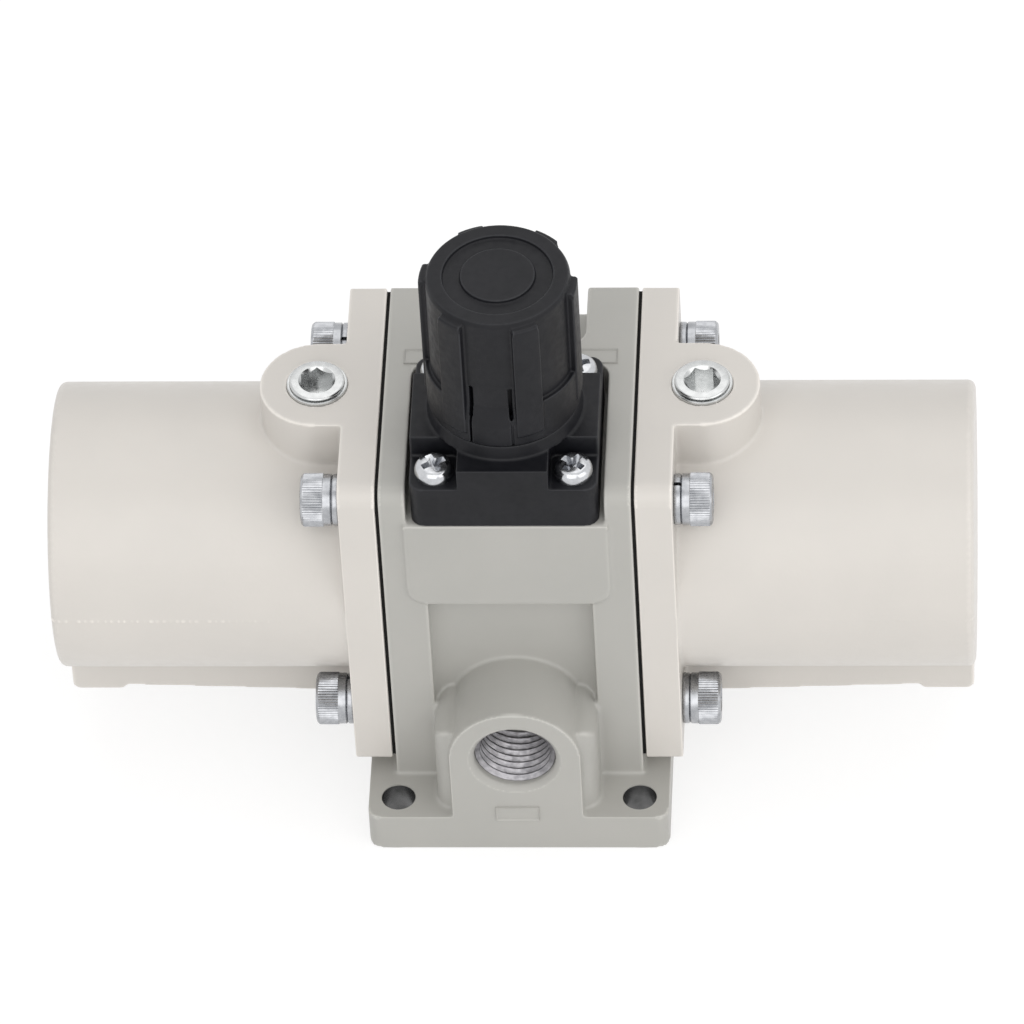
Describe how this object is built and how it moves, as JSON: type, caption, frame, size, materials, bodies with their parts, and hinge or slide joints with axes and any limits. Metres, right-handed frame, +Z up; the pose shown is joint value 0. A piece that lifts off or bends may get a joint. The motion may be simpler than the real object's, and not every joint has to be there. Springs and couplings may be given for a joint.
{
  "type": "air pressure booster",
  "caption": "Air pressure booster: cast centre body on a drilled foot, lobed regulator knob on top, opposed cylinder covers with coupled pistons, threaded air ports.",
  "frame": {"origin": "middle of the foot plate's underside", "axes": "+X along the cylinders, -Y towards the exhaust port, +Z up along the knob"},
  "size_m": [0.1476, 0.0666, 0.1065],
  "materials": {
    "body_paint": "cool grey paint on a die casting",
    "cover_paint": "warm light grey paint on a die casting",
    "gasket_rubber": "matt sheet rubber",
    "zinc_plate": "bright zinc plate",
    "black_nylon": "moulded, fine satin grain",
    "machined_steel": "turned and ground",
    "spring_wire": "drawn wire",
    "brass": "turned",
    "bush_bronze": "sintered",
    "black_rubber": "moulded",
    "bare_aluminium": "turned",
    "wear_polymer": "turned"
  },
  "bodies": {
    "housing": {"body": "body_paint", "left_cover": "cover_paint", "right_cover": "cover_paint", "left_gasket": "gasket_rubber", "right_gasket": "gasket_rubber", "cover_screws": "zinc_plate", "cover_spring_washers": "zinc_plate", "left_gauge_plug": "zinc_plate", "right_gauge_plug": "zinc_plate", "bonnet": "black_nylon", "bonnet_screws": "zinc_plate", "regulating_spring": "spring_wire", "diaphragm": "black_rubber", "governor_seat": "brass", "governor_valve_spring": "spring_wire", "rod_bush": "bush_bronze", "rod_seals": "black_rubber", "rod_seal_retainers": "machined_steel", "end_bumpers": "black_rubber", "valve_sleeve": "brass", "valve_end_caps": "bare_aluminium", "inlet_valve_cages": "brass", "outlet_valve_seats": "brass", "left_inlet_spring": "spring_wire", "right_inlet_spring": "spring_wire", "left_outlet_spring": "spring_wire", "right_outlet_spring": "spring_wire"},
    "adjuster": {"adjusting_screw": "machined_steel"},
    "knob": {"knob": "black_nylon"},
    "seat_nut": {"spring_seat_nut": "brass"},
    "governor_stem": {"diaphragm_plate": "bare_aluminium", "diaphragm_washer": "bare_aluminium", "governor_valve": "brass"},
    "piston_set": {"piston_rod": "machined_steel", "left_piston": "bare_aluminium", "right_piston": "bare_aluminium", "left_piston_seal": "black_rubber", "right_piston_seal": "black_rubber", "left_wear_ring": "wear_polymer", "right_wear_ring": "wear_polymer", "piston_bolts": "zinc_plate"},
    "switch_spool": {"spool": "machined_steel", "spool_seals": "black_rubber", "left_push_pin": "machined_steel", "right_push_pin": "machined_steel"},
    "left_inlet_check": {"left_inlet_disc": "black_rubber"},
    "right_inlet_check": {"right_inlet_disc": "black_rubber"},
    "left_outlet_check": {"left_outlet_disc": "black_rubber"},
    "right_outlet_check": {"right_outlet_disc": "black_rubber"}
  },
  "joints": [
    {"name": "knob_turn", "type": "hinge", "parent": "housing", "child": "adjuster", "pos_m": [0, -0.0093, 0.0921], "axis": [0, 0, -1], "range_deg": [0, 1800]},
    {"name": "knob_pull", "type": "slide", "parent": "adjuster", "child": "knob", "axis": [0, 0, 1], "range_m": [0, 0.003]},
    {"name": "seat_travel", "type": "slide", "parent": "housing", "child": "seat_nut", "axis": [0, 0, -1], "range_m": [0, 0.005], "deforming": ["regulating_spring"]},
    {"name": "governor_lift", "type": "slide", "parent": "housing", "child": "governor_stem", "axis": [0, 0, -1], "range_m": [0, 0.0008], "stiffness_N_per_m": 1500, "deforming": ["governor_valve_spring", "diaphragm"]},
    {"name": "piston_slide", "type": "slide", "parent": "housing", "child": "piston_set", "axis": [1, 0, 0], "range_m": [-0.01675, 0.01675]},
    {"name": "spool_shift", "type": "slide", "parent": "housing", "child": "switch_spool", "axis": [1, 0, 0], "range_m": [-0.002, 0.002]},
    {"name": "left_inlet_lift", "type": "slide", "parent": "housing", "child": "left_inlet_check", "axis": [-1, 0, 0], "range_m": [0, 0.0015], "stiffness_N_per_m": 120, "deforming": ["left_inlet_spring"]},
    {"name": "right_inlet_lift", "type": "slide", "parent": "housing", "child": "right_inlet_check", "axis": [1, 0, 0], "range_m": [0, 0.0015], "stiffness_N_per_m": 120, "deforming": ["right_inlet_spring"]},
    {"name": "left_outlet_lift", "type": "slide", "parent": "housing", "child": "left_outlet_check", "axis": [1, 0, 0], "range_m": [0, 0.0015], "stiffness_N_per_m": 120, "deforming": ["left_outlet_spring"]},
    {"name": "right_outlet_lift", "type": "slide", "parent": "housing", "child": "right_outlet_check", "axis": [-1, 0, 0], "range_m": [0, 0.0015], "stiffness_N_per_m": 120, "deforming": ["right_outlet_spring"]}
  ],
  "couplings": [
    {"joint": "seat_travel", "follows": "knob_turn", "m_per_rad": 0.000159},
    {"joint": "spool_shift", "follows": "piston_slide", "ratio": 0.1194}
  ]
}
